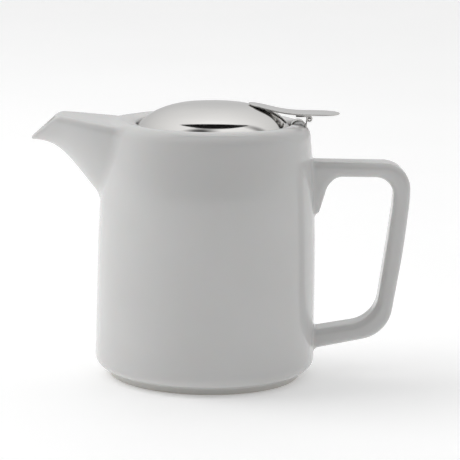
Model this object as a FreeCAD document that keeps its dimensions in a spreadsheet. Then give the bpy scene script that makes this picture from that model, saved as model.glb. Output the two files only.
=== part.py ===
"""Porcelain teapot with a hinged steel lid and a lift-out infuser basket.

Millimetres. The origin is on the axis of the pot in the plane that it stands on, with +Z up and +X towards
the handle.
"""

import FreeCAD, Part
import math
import os

from FreeCAD import Placement, Rotation, Vector
import Sketcher

DRIVING_SIZES = {
    # pot body
    "pot_height": 113.0,
    "foot_radius": 42.0,
    "foot_height": 2.8,
    "foot_flare": 1.0,
    "foot_land": 5.0,
    "foot_recess": 2.2,
    "base_round": 5.6,
    "base_level": 8.2,
    "base_radius": 48.5,
    "waist_radius": 48.0,
    "waist_level": 50.0,
    "wall_bow": 659.0,
    "neck_radius": 44.9,
    "shoulder_round": 6.55,
    "crest_radius": 38.3,
    "wall": 4.2,
    "floor_level": 6.5,
    "inner_round": 8.0,
    "deck_thickness": 8.2,
    "deck_fall": 1.6,
    "neck_ease": 0.6,
    "cavity_shoulder": 4.0,
    # lid opening
    "mouth_offset": 2.05,
    "mouth_radius": 33.9,
    "throat_radius": 29.6,
    "ledge_depth": 4.45,
    "notch_reach": 36.7,
    "notch_bevel": 1.3,
    "slot_start": 41.6,
    "slot_end": 43.2,
    "slot_depth": 7.0,
    "strainer_hole": 4.2,
    "strainer_pitch": 5.8,
    "strainer_reach": 54.0,
    "strainer_length": 16.0,
    "strainer_top_drop": 12.0,
    "strainer_row_gap": 6.0,
    "clip_gap": 0.3,
    # spout
    "spout_round": 4.0,
    "spout_bulge": 0.12,
    "lip_reach": 76.7,
    "lip_drop": 8.3,
    "mouth_angle": 41.5,
    # handle
    "bar_thickness": 6.6,
    "bar_width": 14.4,
    "bar_round": 2.5,
    "bar_drop": 16.4,
    "top_bend": 12.0,
    "top_inner_bend": 8.0,
    "grip_reach": 88.7,
    "grip_thickness": 7.2,
    "grip_foot_reach": 82.6,
    "grip_foot_drop": 84.0,
    "grip_inner_foot_reach": 75.8,
    "grip_inner_foot_drop": 78.5,
    "grip_bow": 340.0,
    "low_bend": 12.5,
    "low_inner_bend": 9.0,
    "low_bar_end": 67.6,
    "low_bar_end_drop": 87.9,
    "low_corner_reach": 73.6,
    "low_corner_drop": 94.7,
    "root_reach": 44.0,
    "low_root_top_drop": 92.4,
    "low_root_drop": 101.0,
    "gusset_tip_reach": 49.2,
    "gusset_tip_drop": 38.8,
    "gusset_reach": 52.3,
    "gusset_drop": 29.6,
    "gusset_end": 60.5,
    "gusset_round": 7.5,
    # hinge
    "pivot_reach": 43.6,
    "pivot_rise": 2.4,
    "pin_radius": 0.7,
    "pin_length": 15.6,
    "pin_play": 0.05,
    "lid_knuckle_radius": 1.4,
    "clip_knuckle_radius": 1.1,
    "clip_knuckle_width": 5.6,
    "knuckle_gap": 0.3,
    # clip
    "clip_width": 7.0,
    "clip_sheet": 0.6,
    "riser_sheet": 0.4,
    "clip_reach": 35.8,
    "arch_spring": 1.0,
    "arch_round": 3.65,
    "inner_leg": 3.2,
    "outer_leg": 5.4,
    # lid
    "lid_level": 2.2,
    "lid_tilt": 0.8,
    "dome_rise": 10.4,
    "crown_reach": 13.0,
    "crown_round": 130.0,
    "slope_reach": 25.0,
    "slope_round": 38.1,
    "brow_reach": 32.6,
    "brow_round": 22.9,
    "lid_sheet": 0.6,
    "skirt_radius": 27.5,
    "skirt_depth": 3.6,
    # lever and strap
    "lever_sheet": 0.7,
    "lever_front": 17.2,
    "lever_end": 57.2,
    "lever_half_width": 7.5,
    "lever_end_half_width": 8.3,
    "lever_front_rise": 8.35,
    "lever_bend_start": 29.0,
    "lever_bend_rise": 5.78,
    "lever_bend_end": 42.0,
    "lever_bend_round": 67.0,
    "leaf_reach": 5.6,
    "leaf_sheet": 0.65,
    "strap_start": 21.5,
    "strap_end": 32.0,
    "strap_width": 7.8,
    # infuser
    "collar_radius": 28.8,
    "infuser_sheet": 0.5,
    "mesh_sheet": 0.4,
    "flange_radius": 33.2,
    "flange_gap": 0.15,
    "flange_sheet": 0.6,
    "collar_depth": 16.0,
    "mesh_top_depth": 12.0,
    "infuser_depth": 78.0,
    "hoop_height": 6.0,
    "hoop_turn_in": 4.0,
    "hoop_round": 0.6,
    "hoop_sheet": 0.4,
    "seam_width": 5.0,
}

# How far out each section of the spout is, its half width, the height of its roof over the rim,
# the depth of its keel under the rim, and its wall.
SPOUT_STATIONS = {
    "a": {"reach": 34.0, "half": 24.0, "roof": -1.2, "keel": 50.6, "wall": 3.4},
    "b": {"reach": 41.6, "half": 21.2, "roof": -0.4, "keel": 41.4, "wall": 3.4},
    "c": {"reach": 49.0, "half": 18.6, "roof": 0.3, "keel": 32.5, "wall": 3.2},
    "d": {"reach": 56.0, "half": 15.4, "roof": 1.1, "keel": 23.7, "wall": 2.9},
    "e": {"reach": 62.0, "half": 12.1, "roof": 1.8, "keel": 16.8, "wall": 2.5},
    "f": {"reach": 68.0, "half": 9.0, "roof": 2.4, "keel": 12.4, "wall": 2.1},
    "g": {"reach": 79.0, "half": 6.4, "roof": 3.4, "keel": 9.4, "wall": 1.8},
}

doc = FreeCAD.newDocument("teapot_infuser")
sheet = doc.addObject("Spreadsheet::Sheet", "sizes")


def fill_sheet():
    rows = dict(DRIVING_SIZES)
    for letter, station in SPOUT_STATIONS.items():
        for what, amount in station.items():
            rows[f"spout_{what}_{letter}"] = amount
    for row, (alias, amount) in enumerate(rows.items(), start=1):
        sheet.set(f"A{row}", alias)
        sheet.set(f"B{row}", str(amount))
        sheet.setAlias(f"B{row}", alias)
    doc.recompute()


def size(alias):
    return float(sheet.get(alias))


def number(text):
    """The value of a sum such as "pot_height - 0.5*wall"."""
    total = 0.0
    sign = 1.0
    for term in text.split():
        if term in ("+", "-"):
            sign = 1.0 if term == "+" else -1.0
            continue
        product = sign
        for factor in term.split("*"):
            product *= size(factor) if factor.isidentifier() else float(factor)
        total += product
    return total


def bound(text):
    """The same sum as an expression on the sheet."""
    terms = []
    for term in text.split():
        factors = [f"sizes.{f}" if f.isidentifier() else f for f in term.split("*")]
        terms.append("*".join(factors))
    return " ".join(terms)


def bind(thing, **sums):
    for name, text in sums.items():
        thing.setExpression(name, bound(text))


# ---------------------------------------------------------------- building blocks


def new_body(name):
    body = doc.addObject("PartDesign::Body", name)
    body.Label = name
    return body


def new_sketch(body, role, name):
    sketch = body.newObject("Sketcher::SketchObject", name)
    plane = [f for f in body.Origin.OriginFeatures if f.Role == role][0]
    sketch.AttachmentSupport = [(plane, "")]
    sketch.MapMode = "FlatFace"
    return sketch


def arc_between(start, end, radius):
    """An arc from start to end: it turns left for a positive radius and right for a negative one."""
    chord = end - start
    half = chord.Length / 2
    rise = math.sqrt(max(radius * radius - half * half, 0.0))
    left = Vector(-chord.y, chord.x, 0).normalize()
    centre = start + chord * 0.5 + left * math.copysign(rise, radius)
    first, last = (start, end) if radius > 0 else (end, start)
    first_angle = math.atan2(first.y - centre.y, first.x - centre.x)
    last_angle = math.atan2(last.y - centre.y, last.x - centre.x)
    circle = Part.Circle(centre, Vector(0, 0, 1), abs(radius))
    return Part.ArcOfCircle(circle, first_angle, last_angle)


def draw_outline(sketch, corners):
    """Draws a closed outline. A corner is (across, up) or (across, up, radius of the arc that arrives there);
    a radius that starts with a minus sign turns right. Each corner and radius is bound to the sheet."""
    points = [Vector(number(c[0]), number(c[1]), 0) for c in corners]
    edges = []
    for i, corner in enumerate(corners):
        start, end = points[i - 1], points[i]
        if len(corner) == 3:
            turn = corner[2]
            radius = -number(turn[1:]) if turn.startswith("-") else number(turn)
            edge = sketch.addGeometry(arc_between(start, end, radius), False)
            edges.append((edge, 1, 2) if radius > 0 else (edge, 2, 1))
            fixed = sketch.addConstraint(Sketcher.Constraint("Radius", edge, abs(radius)))
            sketch.setExpression(f"Constraints[{fixed}]", bound(turn.lstrip("-")))
        else:
            edge = sketch.addGeometry(Part.LineSegment(start, end), False)
            edges.append((edge, 1, 2))
    for i, corner in enumerate(corners):
        edge, _, last = edges[i]
        following, first, _ = edges[(i + 1) % len(edges)]
        sketch.addConstraint(Sketcher.Constraint("Coincident", edge, last, following, first))
        place_corner(sketch, edge, last, corner, points[i])


def place_corner(sketch, edge, end, corner, point):
    axes = (("DistanceX", corner[0], point.x, -2), ("DistanceY", corner[1], point.y, -1))
    for kind, text, amount, axis in axes:
        if text == "0":
            sketch.addConstraint(Sketcher.Constraint("PointOnObject", edge, end, axis))
            continue
        fixed = sketch.addConstraint(Sketcher.Constraint(kind, -1, 1, edge, end, amount))
        sketch.setExpression(f"Constraints[{fixed}]", bound(text))


def revolved(name, corners):
    """A body turned about its own Z axis."""
    body = new_body(name)
    sketch = new_sketch(body, "XZ_Plane", f"{name}_profile")
    draw_outline(sketch, corners)
    doc.recompute()
    turned = body.newObject("PartDesign::Revolution", f"{name}_turned")
    turned.Profile = sketch
    turned.ReferenceAxis = (sketch, ["V_Axis"])
    turned.Angle = 360
    return body


def padded(name, corners, width, role="XZ_Plane"):
    """A body of constant width, centred on its sketch plane."""
    body = new_body(name)
    add_pad(body, name, corners, width, role)
    return body


def add_pad(body, name, corners, width, role="XZ_Plane"):
    sketch = new_sketch(body, role, f"{name}_outline")
    draw_outline(sketch, corners)
    doc.recompute()
    pad = body.newObject("PartDesign::Pad", f"{name}_pad")
    pad.Profile = sketch
    pad.Midplane = True
    bind(pad, Length=width)
    return pad


def box(name, low, high):
    """A box between two corners, each a triple of sums."""
    block = doc.addObject("Part::Box", name)
    spans = [f"{b} - {minus(a)}" if a != "0" else b for a, b in zip(low, high)]
    bind(block, Length=spans[0], Width=spans[1], Height=spans[2])
    place(block, low)
    return block


def minus(text):
    """A sum with every sign turned, to follow a minus sign."""
    turned = {"+": "-", "-": "+"}
    return " ".join(turned.get(term, term) for term in text.split())


def place(thing, at):
    names = ("Placement.Base.x", "Placement.Base.y", "Placement.Base.z")
    for name, text in zip(names, at):
        thing.setExpression(name, bound(text))


def upright_cylinder(name, radius, height, at):
    rod = doc.addObject("Part::Cylinder", name)
    bind(rod, Radius=radius, Height=height)
    place(rod, at)
    return rod


def cut(name, base, tool):
    made = doc.addObject("Part::Cut", name)
    made.Label = name
    made.Base = base
    made.Tool = tool
    return made


def common(name, base, tool):
    made = doc.addObject("Part::Common", name)
    made.Label = name
    made.Base = base
    made.Tool = tool
    return made


def joined(name, things):
    made = doc.addObject("Part::MultiFuse", name)
    made.Label = name
    made.Shapes = things
    return made


def solid_feature(name, shape):
    made = doc.addObject("Part::Feature", name)
    made.Label = name
    made.Shape = shape
    return made


# ---------------------------------------------------------------- porcelain

BODY_OUTSIDE = [
    ("foot_radius + foot_flare", "foot_height"),
    ("base_radius", "base_level", "base_round"),
    ("waist_radius", "waist_level"),
    ("neck_radius", "pot_height - shoulder_round", "wall_bow"),
    ("crest_radius", "pot_height", "shoulder_round"),
    ("0.5*crest_radius", "pot_height - deck_fall"),
    ("0", "pot_height - deck_fall"),
]


def make_body_outside(name):
    """The body as a solid lump with no hollow, turned about the pot's axis."""
    foot = [
        ("0", "foot_recess"),
        ("foot_radius - foot_land - 0.5*foot_recess", "foot_recess"),
        ("foot_radius - foot_land", "0"),
        ("foot_radius", "0"),
    ]
    return revolved(name, foot + BODY_OUTSIDE)


def make_cavity():
    inside = [
        ("0", "floor_level"),
        ("base_radius - wall - inner_round", "floor_level"),
        ("base_radius - wall", "floor_level + inner_round", "inner_round"),
        ("waist_radius - wall", "waist_level"),
        ("neck_radius - wall + neck_ease", "pot_height - deck_thickness - cavity_shoulder", "wall_bow"),
        ("neck_radius - wall + neck_ease - cavity_shoulder", "pot_height - deck_thickness", "cavity_shoulder"),
        ("0", "pot_height - deck_thickness"),
    ]
    return revolved("pot_cavity", inside)


def make_strainer():
    """Holes through the wall behind the spout: rows of four, three and two."""
    holes = []
    for row, count in enumerate((4, 3, 2)):
        depth = size("strainer_top_drop") + row * size("strainer_row_gap")
        for i in range(count):
            rod = doc.addObject("Part::Cylinder", f"strainer_{count}_{i}")
            bind(rod, Radius="0.5*strainer_hole", Height="strainer_length")
            across = (i - (count - 1) / 2) * size("strainer_pitch")
            at = Vector(-size("strainer_reach"), across, size("pot_height") - depth)
            rod.Placement = Placement(at, Rotation(Vector(0, 1, 0), 90))
            holes.append(rod)
    return holes


def make_pot_body():
    blank = make_body_outside("pot_blank")
    top = "pot_height + 2"
    ledge = "pot_height - ledge_depth"
    below = "pot_height - deck_thickness - 2"
    recess = upright_cylinder(
        "mouth_recess", "mouth_radius", "ledge_depth + 2", ("mouth_offset", "0", ledge)
    )
    throat = upright_cylinder(
        "throat", "throat_radius", "deck_thickness + 4", ("mouth_offset", "0", below)
    )
    half = "0.5*clip_width + clip_gap"
    notch_outline = [
        ("mouth_offset", ledge),
        ("notch_reach", ledge),
        ("notch_reach", "pot_height - notch_bevel"),
        ("notch_reach + notch_bevel + 2", top),
        ("mouth_offset", top),
    ]
    notch = padded("clip_notch", notch_outline, "clip_width + 2*clip_gap")
    slot = box(
        "clip_slot",
        ("slot_start", "0 - 0.5*clip_width - clip_gap", "pot_height - slot_depth"),
        ("slot_end", half, top),
    )
    hollow = joined("pot_hollow", [make_cavity(), recess, throat, notch, slot] + make_strainer())
    return cut("pot_body", blank, hollow)


def spout_section(reach, half, roof, keel, edge_round):
    """A wire across the spout: a flat roof and two bulging sides that meet in a round keel."""
    left = Vector(-reach, -half, roof)
    right = Vector(-reach, half, roof)
    bottom = Vector(-reach, 0, keel)
    edges = [Part.makeLine(left, right)]
    for start, end in ((right, bottom), (bottom, left)):
        chord = end - start
        outward = Vector(0, -chord.z, chord.y).normalize()
        middle = start + chord * 0.5 + outward * (size("spout_bulge") * chord.Length)
        edges.append(Part.Arc(start, middle, end).toShape())
    sharp = Part.Face(Part.Wire(edges))
    # Shrinking with sharp corners and growing back with round ones rounds all three corners.
    return sharp.makeOffset2D(-edge_round, 2).makeOffset2D(edge_round, 0).OuterWire


def spout_loft(hollow):
    """The spout's outside, or its channel."""
    wires = []
    rim = size("pot_height")
    for letter in SPOUT_STATIONS:
        inset = size(f"spout_wall_{letter}") if hollow else 0.0
        reach = size(f"spout_reach_{letter}")
        half = size(f"spout_half_{letter}") - inset
        roof = rim + size(f"spout_roof_{letter}") - inset
        keel = rim - size(f"spout_keel_{letter}") + 1.5 * inset
        wires.append(spout_section(reach, half, roof, keel, size("spout_round") - 0.6 * inset))
    return Part.makeLoft(wires, True, False)


def make_spout(outside):
    walls = spout_loft(False).cut(spout_loft(True))
    tip = Vector(-size("lip_reach"), 0, size("pot_height") - size("lip_drop"))
    waste = Part.makeBox(60, 60, 60, Vector(-60, -30, 0))
    waste.Placement = Placement(tip, Rotation(Vector(0, 1, 0), -size("mouth_angle"))).multiply(
        waste.Placement
    )
    blank = solid_feature("spout_blank", walls.cut(waste))
    return cut("spout", blank, outside)


def make_handle(outside):
    top = "pot_height - bar_drop"
    under = "pot_height - bar_drop - bar_thickness"
    outline = [
        ("root_reach - 3", top),
        ("root_reach - 3", "pot_height - gusset_tip_drop - 1"),
        ("gusset_tip_reach", "pot_height - gusset_tip_drop"),
        ("gusset_reach", "pot_height - gusset_drop"),
        ("gusset_end", under, "-gusset_round"),
        ("grip_reach - grip_thickness - top_inner_bend", under),
        ("grip_reach - grip_thickness", f"{under} - top_inner_bend", "-top_inner_bend"),
        ("grip_inner_foot_reach", "pot_height - grip_inner_foot_drop", "-grip_bow"),
        ("low_bar_end", "pot_height - low_bar_end_drop", "-low_inner_bend"),
        ("root_reach", "pot_height - low_root_top_drop"),
        ("root_reach", "pot_height - low_root_drop"),
        ("low_corner_reach", "pot_height - low_corner_drop"),
        ("grip_foot_reach", "pot_height - grip_foot_drop", "low_bend"),
        ("grip_reach", f"{top} - top_bend", "grip_bow"),
        ("grip_reach - top_bend", top, "top_bend"),
    ]
    bar = padded("handle_bar", outline, "bar_width")
    doc.recompute()
    soft = bar.newObject("PartDesign::Fillet", "handle_edges")
    pad = doc.getObject("handle_bar_pad")
    soft.Base = (pad, long_edges(pad.Shape, size("bar_width") / 2))
    bind(soft, Radius="bar_round")
    return cut("handle", bar, outside)


def long_edges(shape, half_width):
    """Names of the edges on the two flat sides, except those buried in the pot."""
    names = []
    for i, edge in enumerate(shape.Edges, start=1):
        middle = edge.CenterOfMass
        on_side = all(abs(abs(v.Y) - half_width) < 1e-6 for v in edge.Vertexes)
        if on_side and middle.x > size("root_reach") + 0.5:
            names.append(f"Edge{i}")
    return names


# ---------------------------------------------------------------- hinge and clip


def knuckle_ring(name, outer, bore, width):
    """A tube on the hinge axis."""
    tube = []
    for suffix, radius, length in (("shell", outer, width), ("bore", bore, f"{width} + 2")):
        rod = doc.addObject("Part::Cylinder", f"{name}_{suffix}")
        bind(rod, Radius=radius, Height=length)
        rod.Placement = Placement(Vector(), Rotation(Vector(1, 0, 0), 90))
        half = number(length) / 2
        place(rod, ("pivot_reach", f"{half}", "pot_height + pivot_rise"))
        tube.append(rod)
    return tube


def make_hinge_pin():
    pin = doc.addObject("Part::Cylinder", "hinge_pin")
    pin.Label = "hinge_pin"
    bind(pin, Radius="pin_radius", Height="pin_length")
    pin.Placement = Placement(Vector(), Rotation(Vector(1, 0, 0), 90))
    place(pin, ("pivot_reach", "0.5*pin_length", "pot_height + pivot_rise"))
    return pin


def make_riser_leaf():
    """Flat strip up out of the slot, with one knuckle rolled on its top."""
    left = "pivot_reach - clip_knuckle_radius"
    right = "pivot_reach - clip_knuckle_radius + riser_sheet"
    foot = "pot_height - outer_leg"
    plate = box(
        "riser_plate",
        (left, "0 - 0.5*clip_width", foot),
        (right, "0.5*clip_width", "pot_height + 0.6"),
    )
    neck = box(
        "riser_neck",
        (left, "0 - 0.5*clip_knuckle_width", foot),
        (right, "0.5*clip_knuckle_width", "pot_height + pivot_rise"),
    )
    shell, bore = knuckle_ring(
        "clip_knuckle", "clip_knuckle_radius", "pin_radius", "clip_knuckle_width"
    )
    return cut("riser_leaf", joined("riser_blank", [plate, neck, shell]), bore)


def make_saddle_clip():
    """Spring strip bent over the bar of porcelain between the mouth and the slot."""
    far = "pivot_reach - clip_knuckle_radius"
    spring = "pot_height - arch_spring"
    outline = [
        ("clip_reach", "pot_height - arch_spring - inner_leg"),
        ("clip_reach + clip_sheet", "pot_height - arch_spring - inner_leg"),
        ("clip_reach + clip_sheet", spring),
        ("pivot_reach - clip_knuckle_radius - clip_sheet", spring, "-arch_round - clip_sheet"),
        ("pivot_reach - clip_knuckle_radius - clip_sheet", "pot_height - outer_leg"),
        (far, "pot_height - outer_leg"),
        (far, spring),
        ("clip_reach", spring, "arch_round"),
    ]
    return padded("saddle_clip", outline, "clip_width")


# ---------------------------------------------------------------- lid


def lid_frame():
    """Where the turned lid parts sit: over the mouth, a little high at the hinge."""
    at = Vector(size("mouth_offset"), 0, size("pot_height") - size("lid_level"))
    return Placement(at, Rotation(Vector(0, 1, 0), -size("lid_tilt")))


def dome_joints(grow):
    """Where the arcs of the dome meet from the top down, and where its straight border ends, for a dome
    that is larger by grow all over. Each is (reach, level) with the radius of the arc that ends there."""
    reach, level, lean = 0.0, size("dome_rise"), 0.0
    joints = [(reach, level + grow, 0.0)]
    for part in ("crown", "slope", "brow"):
        radius = size(f"{part}_round")
        centre = (reach - radius * math.sin(lean), level - radius * math.cos(lean))
        reach = size(f"{part}_reach")
        lean = math.asin((reach - centre[0]) / radius)
        level = centre[1] + radius * math.cos(lean)
        out = radius + grow
        joints.append((centre[0] + out * math.sin(lean), centre[1] + out * math.cos(lean), out))
    edge = joints[-1]
    joints.append((edge[0] + edge[1] / math.tan(lean), 0.0, 0.0))
    return joints


def dome_face(grow):
    """The corners of the dome's face from the edge up to the top."""
    joints = dome_joints(grow)
    corners = [(f"{joints[-1][0]}", "0")]
    corners.append((f"{joints[-2][0]}", f"{joints[-2][1]}"))
    for above, below in ((joints[2], joints[3]), (joints[1], joints[2])):
        corners.append((f"{above[0]}", f"{above[1]}", f"{below[2]}"))
    corners.append(("0", f"{joints[0][1]}", f"{joints[1][2]}"))
    return corners


def dome_shell(name, outer, inner):
    """A dome-shaped skin between two sizes."""
    up = dome_face(outer)
    down = [(f"{joint[0]}", f"{joint[1]}", f"-{joint[2]}") for joint in dome_joints(inner)[1:-1]]
    inner_edge = (f"{dome_joints(inner)[-1][0]}", "0")
    top = ("0", f"{dome_joints(inner)[0][1]}")
    skin = revolved(name, up + [top] + down + [inner_edge])
    skin.Placement = lid_frame()
    return skin


def make_lid_dome():
    return dome_shell("lid_dome", 0.0, -size("lid_sheet"))


def make_lid_skirt():
    """Ring under the dome, trimmed to the dome's inner face."""
    inside = dome_face(-size("lid_sheet"))
    span = inside[0][0]
    base = [("0", "0 - skirt_depth - 1"), (span, "0 - skirt_depth - 1")]
    filler = revolved("lid_inside", base + inside)
    ring = [
        ("skirt_radius - lid_sheet", "0 - skirt_depth"),
        ("skirt_radius", "0 - skirt_depth"),
        ("skirt_radius", "dome_rise"),
        ("skirt_radius - lid_sheet", "dome_rise"),
    ]
    tube = revolved("skirt_tube", ring)
    filler.Placement = lid_frame()
    tube.Placement = lid_frame()
    return common("lid_skirt", tube, filler)


def make_thumb_lever():
    """Bent plate: its side view and its plan, each padded, and what they share."""
    high = "pot_height + pivot_rise + lid_knuckle_radius + lever_sheet"
    low = "pot_height + pivot_rise + lid_knuckle_radius"
    front = "pot_height + lever_front_rise"
    bend = "pot_height + lever_bend_rise"
    side = [
        ("lever_front", front),
        ("lever_front", "pot_height + lever_front_rise - lever_sheet"),
        ("lever_bend_start", "pot_height + lever_bend_rise - lever_sheet"),
        ("lever_bend_end", low, "lever_bend_round"),
        ("lever_end", low),
        ("lever_end", high),
        ("lever_bend_end", high),
        ("lever_bend_start", bend, "-lever_bend_round"),
    ]
    plan = [
        ("lever_front + lever_half_width", "0 - lever_half_width", "lever_half_width"),
        ("lever_end - lever_end_half_width", "0 - lever_end_half_width"),
        ("lever_end", "0", "lever_end_half_width"),
        ("lever_end - lever_end_half_width", "lever_end_half_width", "lever_end_half_width"),
        ("lever_front + lever_half_width", "lever_half_width"),
        ("lever_front", "0", "lever_half_width"),
    ]
    side_view = padded("lever_side", side, "4*lever_half_width")
    plan_view = padded("lever_plan", plan, "4*pot_height", "XY_Plane")
    return common("thumb_lever", side_view, plan_view)


def make_dome_strap(lever):
    """Strip that hugs the rear slope of the dome and runs in under the lever."""
    skin = dome_shell("strap_skin", size("lever_sheet"), 0.0)
    band = doc.addObject("Part::Box", "strap_band")
    bind(band, Length="strap_end - strap_start", Width="strap_width", Height="pot_height")
    band.Placement = lid_frame().multiply(
        Placement(Vector(size("strap_start"), -size("strap_width") / 2, 0.0), Rotation())
    )
    return cut("dome_strap", common("strap_blank", skin, band), lever)


def make_lever_leaf():
    """Strip under the lever with a knuckle at each side of the clip's knuckle."""
    top = "pot_height + pivot_rise + lid_knuckle_radius"
    strip = box(
        "leaf_strip",
        ("pivot_reach - leaf_reach", "0 - lever_half_width", f"{top} - leaf_sheet"),
        ("pivot_reach", "lever_half_width", top),
    )
    shell, bore = knuckle_ring(
        "lid_knuckle", "lid_knuckle_radius", "pin_radius + pin_play", "2*lever_half_width"
    )
    gap = box(
        "knuckle_gap_cut",
        (
            "pivot_reach - clip_knuckle_radius - 0.5",
            "0 - 0.5*clip_knuckle_width - knuckle_gap",
            "pot_height",
        ),
        (
            "pivot_reach + lid_knuckle_radius + 1",
            "0.5*clip_knuckle_width + knuckle_gap",
            "pot_height + pivot_rise + lid_knuckle_radius + 1",
        ),
    )
    return cut("lever_leaf", joined("leaf_blank", [strip, shell]), joined("leaf_waste", [bore, gap]))


# ---------------------------------------------------------------- infuser


def over_mouth(thing):
    place(thing, ("mouth_offset", "0", "0"))
    return thing


def ring_outline(inner, outer, low, high):
    return [(inner, low), (outer, low), (outer, high), (inner, high)]


def make_infuser_rim():
    """Flange and collar spun from one sheet."""
    seat = "pot_height - ledge_depth + flange_gap"
    top = "pot_height - ledge_depth + flange_gap + flange_sheet"
    outline = [
        ("collar_radius - infuser_sheet", "pot_height - collar_depth"),
        ("collar_radius", "pot_height - collar_depth"),
        ("collar_radius", seat),
        ("flange_radius", seat),
        ("flange_radius", top),
        ("collar_radius + 0.3", top),
        ("collar_radius - infuser_sheet", f"{top} - infuser_sheet - 0.3", "infuser_sheet + 0.3"),
    ]
    return over_mouth(revolved("infuser_rim", outline))


def make_infuser_wall():
    outline = ring_outline(
        "collar_radius - infuser_sheet - mesh_sheet - 0.05",
        "collar_radius - infuser_sheet - 0.05",
        "pot_height - infuser_depth + 0.8",
        "pot_height - mesh_top_depth",
    )
    return over_mouth(revolved("infuser_wall", outline))


def make_infuser_hoop():
    """Band round the bottom, turned in under the floor."""
    low = "pot_height - infuser_depth"
    outline = [
        ("collar_radius - infuser_sheet - hoop_turn_in", low),
        ("collar_radius - hoop_round", low),
        ("collar_radius", "pot_height - infuser_depth + hoop_round", "hoop_round"),
        ("collar_radius", "pot_height - infuser_depth + hoop_height"),
        ("collar_radius - infuser_sheet", "pot_height - infuser_depth + hoop_height"),
        ("collar_radius - infuser_sheet", "pot_height - infuser_depth + hoop_sheet"),
        ("collar_radius - infuser_sheet - hoop_turn_in", "pot_height - infuser_depth + hoop_sheet"),
    ]
    return over_mouth(revolved("infuser_hoop", outline))


def make_infuser_floor():
    disc = doc.addObject("Part::Cylinder", "infuser_floor")
    disc.Label = "infuser_floor"
    bind(disc, Radius="collar_radius - infuser_sheet - 0.1", Height="mesh_sheet")
    place(disc, ("mouth_offset", "0", "pot_height - infuser_depth + hoop_sheet"))
    return disc


def make_infuser_seam():
    """Lap strip outside the wall, on the handle side."""
    outline = ring_outline(
        "collar_radius - infuser_sheet - 0.05",
        "collar_radius - 0.2",
        "pot_height - infuser_depth + hoop_height + 0.1",
        "pot_height - collar_depth - 0.1",
    )
    ring = over_mouth(revolved("seam_ring", outline))
    band = box(
        "seam_band",
        ("mouth_offset", "0 - 0.5*seam_width", "0"),
        ("mouth_offset + 40", "0.5*seam_width", "pot_height"),
    )
    return common("infuser_seam", ring, band)


# ---------------------------------------------------------------- assembly


def build():
    fill_sheet()
    lever = make_thumb_lever()
    return [
        make_pot_body(),
        make_spout(make_body_outside("spout_seat")),
        make_handle(make_body_outside("handle_seat")),
        make_saddle_clip(),
        make_riser_leaf(),
        make_hinge_pin(),
        make_lid_dome(),
        make_lid_skirt(),
        lever,
        make_dome_strap(lever),
        make_lever_leaf(),
        make_infuser_rim(),
        make_infuser_wall(),
        make_infuser_hoop(),
        make_infuser_floor(),
        make_infuser_seam(),
    ]


def check(parts):
    for thing in doc.Objects:
        bad = [s for s in thing.State if s in ("Invalid", "Error")]
        if bad:
            raise RuntimeError(f"{thing.Name} is {bad}")
    for part in parts:
        if part.Shape.isNull() or not part.Shape.isValid():
            raise RuntimeError(f"{part.Label} has no valid shape")


def write(parts):
    os.makedirs("parts", exist_ok=True)
    for old in os.listdir("parts"):
        os.remove(os.path.join("parts", old))
    for part in parts:
        part.Shape.exportStep(os.path.join("parts", f"{part.Label}.step"))
        solids = len(part.Shape.Solids)
        print(f"{part.Label}: {part.Shape.Volume:.1f} mm3 in {solids} solid(s)")


made = build()
doc.recompute()
check(made)
write(made)
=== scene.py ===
"""Looks of the porcelain teapot: one glazed skin, a polished hinged lid and a perforated basket.

Shapes are worked out in millimetres in the CAD frame and written to Blender in metres.
"""

import math

import bmesh
import bpy
import numpy as np
from mathutils import Matrix, Vector


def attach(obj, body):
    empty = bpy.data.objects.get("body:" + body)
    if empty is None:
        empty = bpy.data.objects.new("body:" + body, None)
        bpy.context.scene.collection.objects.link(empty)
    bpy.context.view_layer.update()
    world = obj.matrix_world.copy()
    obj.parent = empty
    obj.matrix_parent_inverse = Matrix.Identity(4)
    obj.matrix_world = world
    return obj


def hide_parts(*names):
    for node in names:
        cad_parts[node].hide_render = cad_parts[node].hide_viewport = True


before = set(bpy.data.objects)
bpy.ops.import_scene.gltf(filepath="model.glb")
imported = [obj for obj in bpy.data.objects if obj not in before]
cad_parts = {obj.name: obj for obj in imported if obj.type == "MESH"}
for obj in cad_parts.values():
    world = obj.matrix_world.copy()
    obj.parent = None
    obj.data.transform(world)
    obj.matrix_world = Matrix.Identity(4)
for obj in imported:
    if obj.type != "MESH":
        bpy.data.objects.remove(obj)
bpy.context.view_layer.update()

# The pot's rim over its foot, the middle of its mouth, the shelf in the mouth that carries the basket,
# and the hinge's axis in the XZ plane with the outside of its knuckles.
RIM = 113.0
MOUTH_X = 2.05
LEDGE = RIM - 4.45
PIVOT = (43.6, RIM + 2.4)
KNUCKLE_RADIUS = 1.4


# ---------------------------------------------------------------- meshes


def add_piece(name, points, faces, body, stands_for, material):
    """Writes a mesh given in millimetres, merges doubled points and turns its faces outward."""
    mesh = bpy.data.meshes.new(name)
    mesh.from_pydata([tuple(p) for p in np.asarray(points, float) / 1000], [], faces)
    tidy = bmesh.new()
    tidy.from_mesh(mesh)
    bmesh.ops.remove_doubles(tidy, verts=tidy.verts, dist=1e-6)
    bmesh.ops.dissolve_degenerate(tidy, edges=tidy.edges, dist=1e-7)
    bmesh.ops.recalc_face_normals(tidy, faces=tidy.faces)
    tidy.to_mesh(mesh)
    tidy.free()
    mesh.shade_smooth()
    mesh.materials.append(material)
    piece = bpy.data.objects.new(name, mesh)
    bpy.context.scene.collection.objects.link(piece)
    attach(piece, body)
    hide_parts(*stands_for)
    return piece


def joined(parts):
    """Several meshes as one."""
    points, faces, start = [], [], 0
    for part_points, part_faces in parts:
        points.append(part_points)
        faces += [tuple(i + start for i in face) for face in part_faces]
        start += len(part_points)
    return np.concatenate(points), faces


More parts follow.
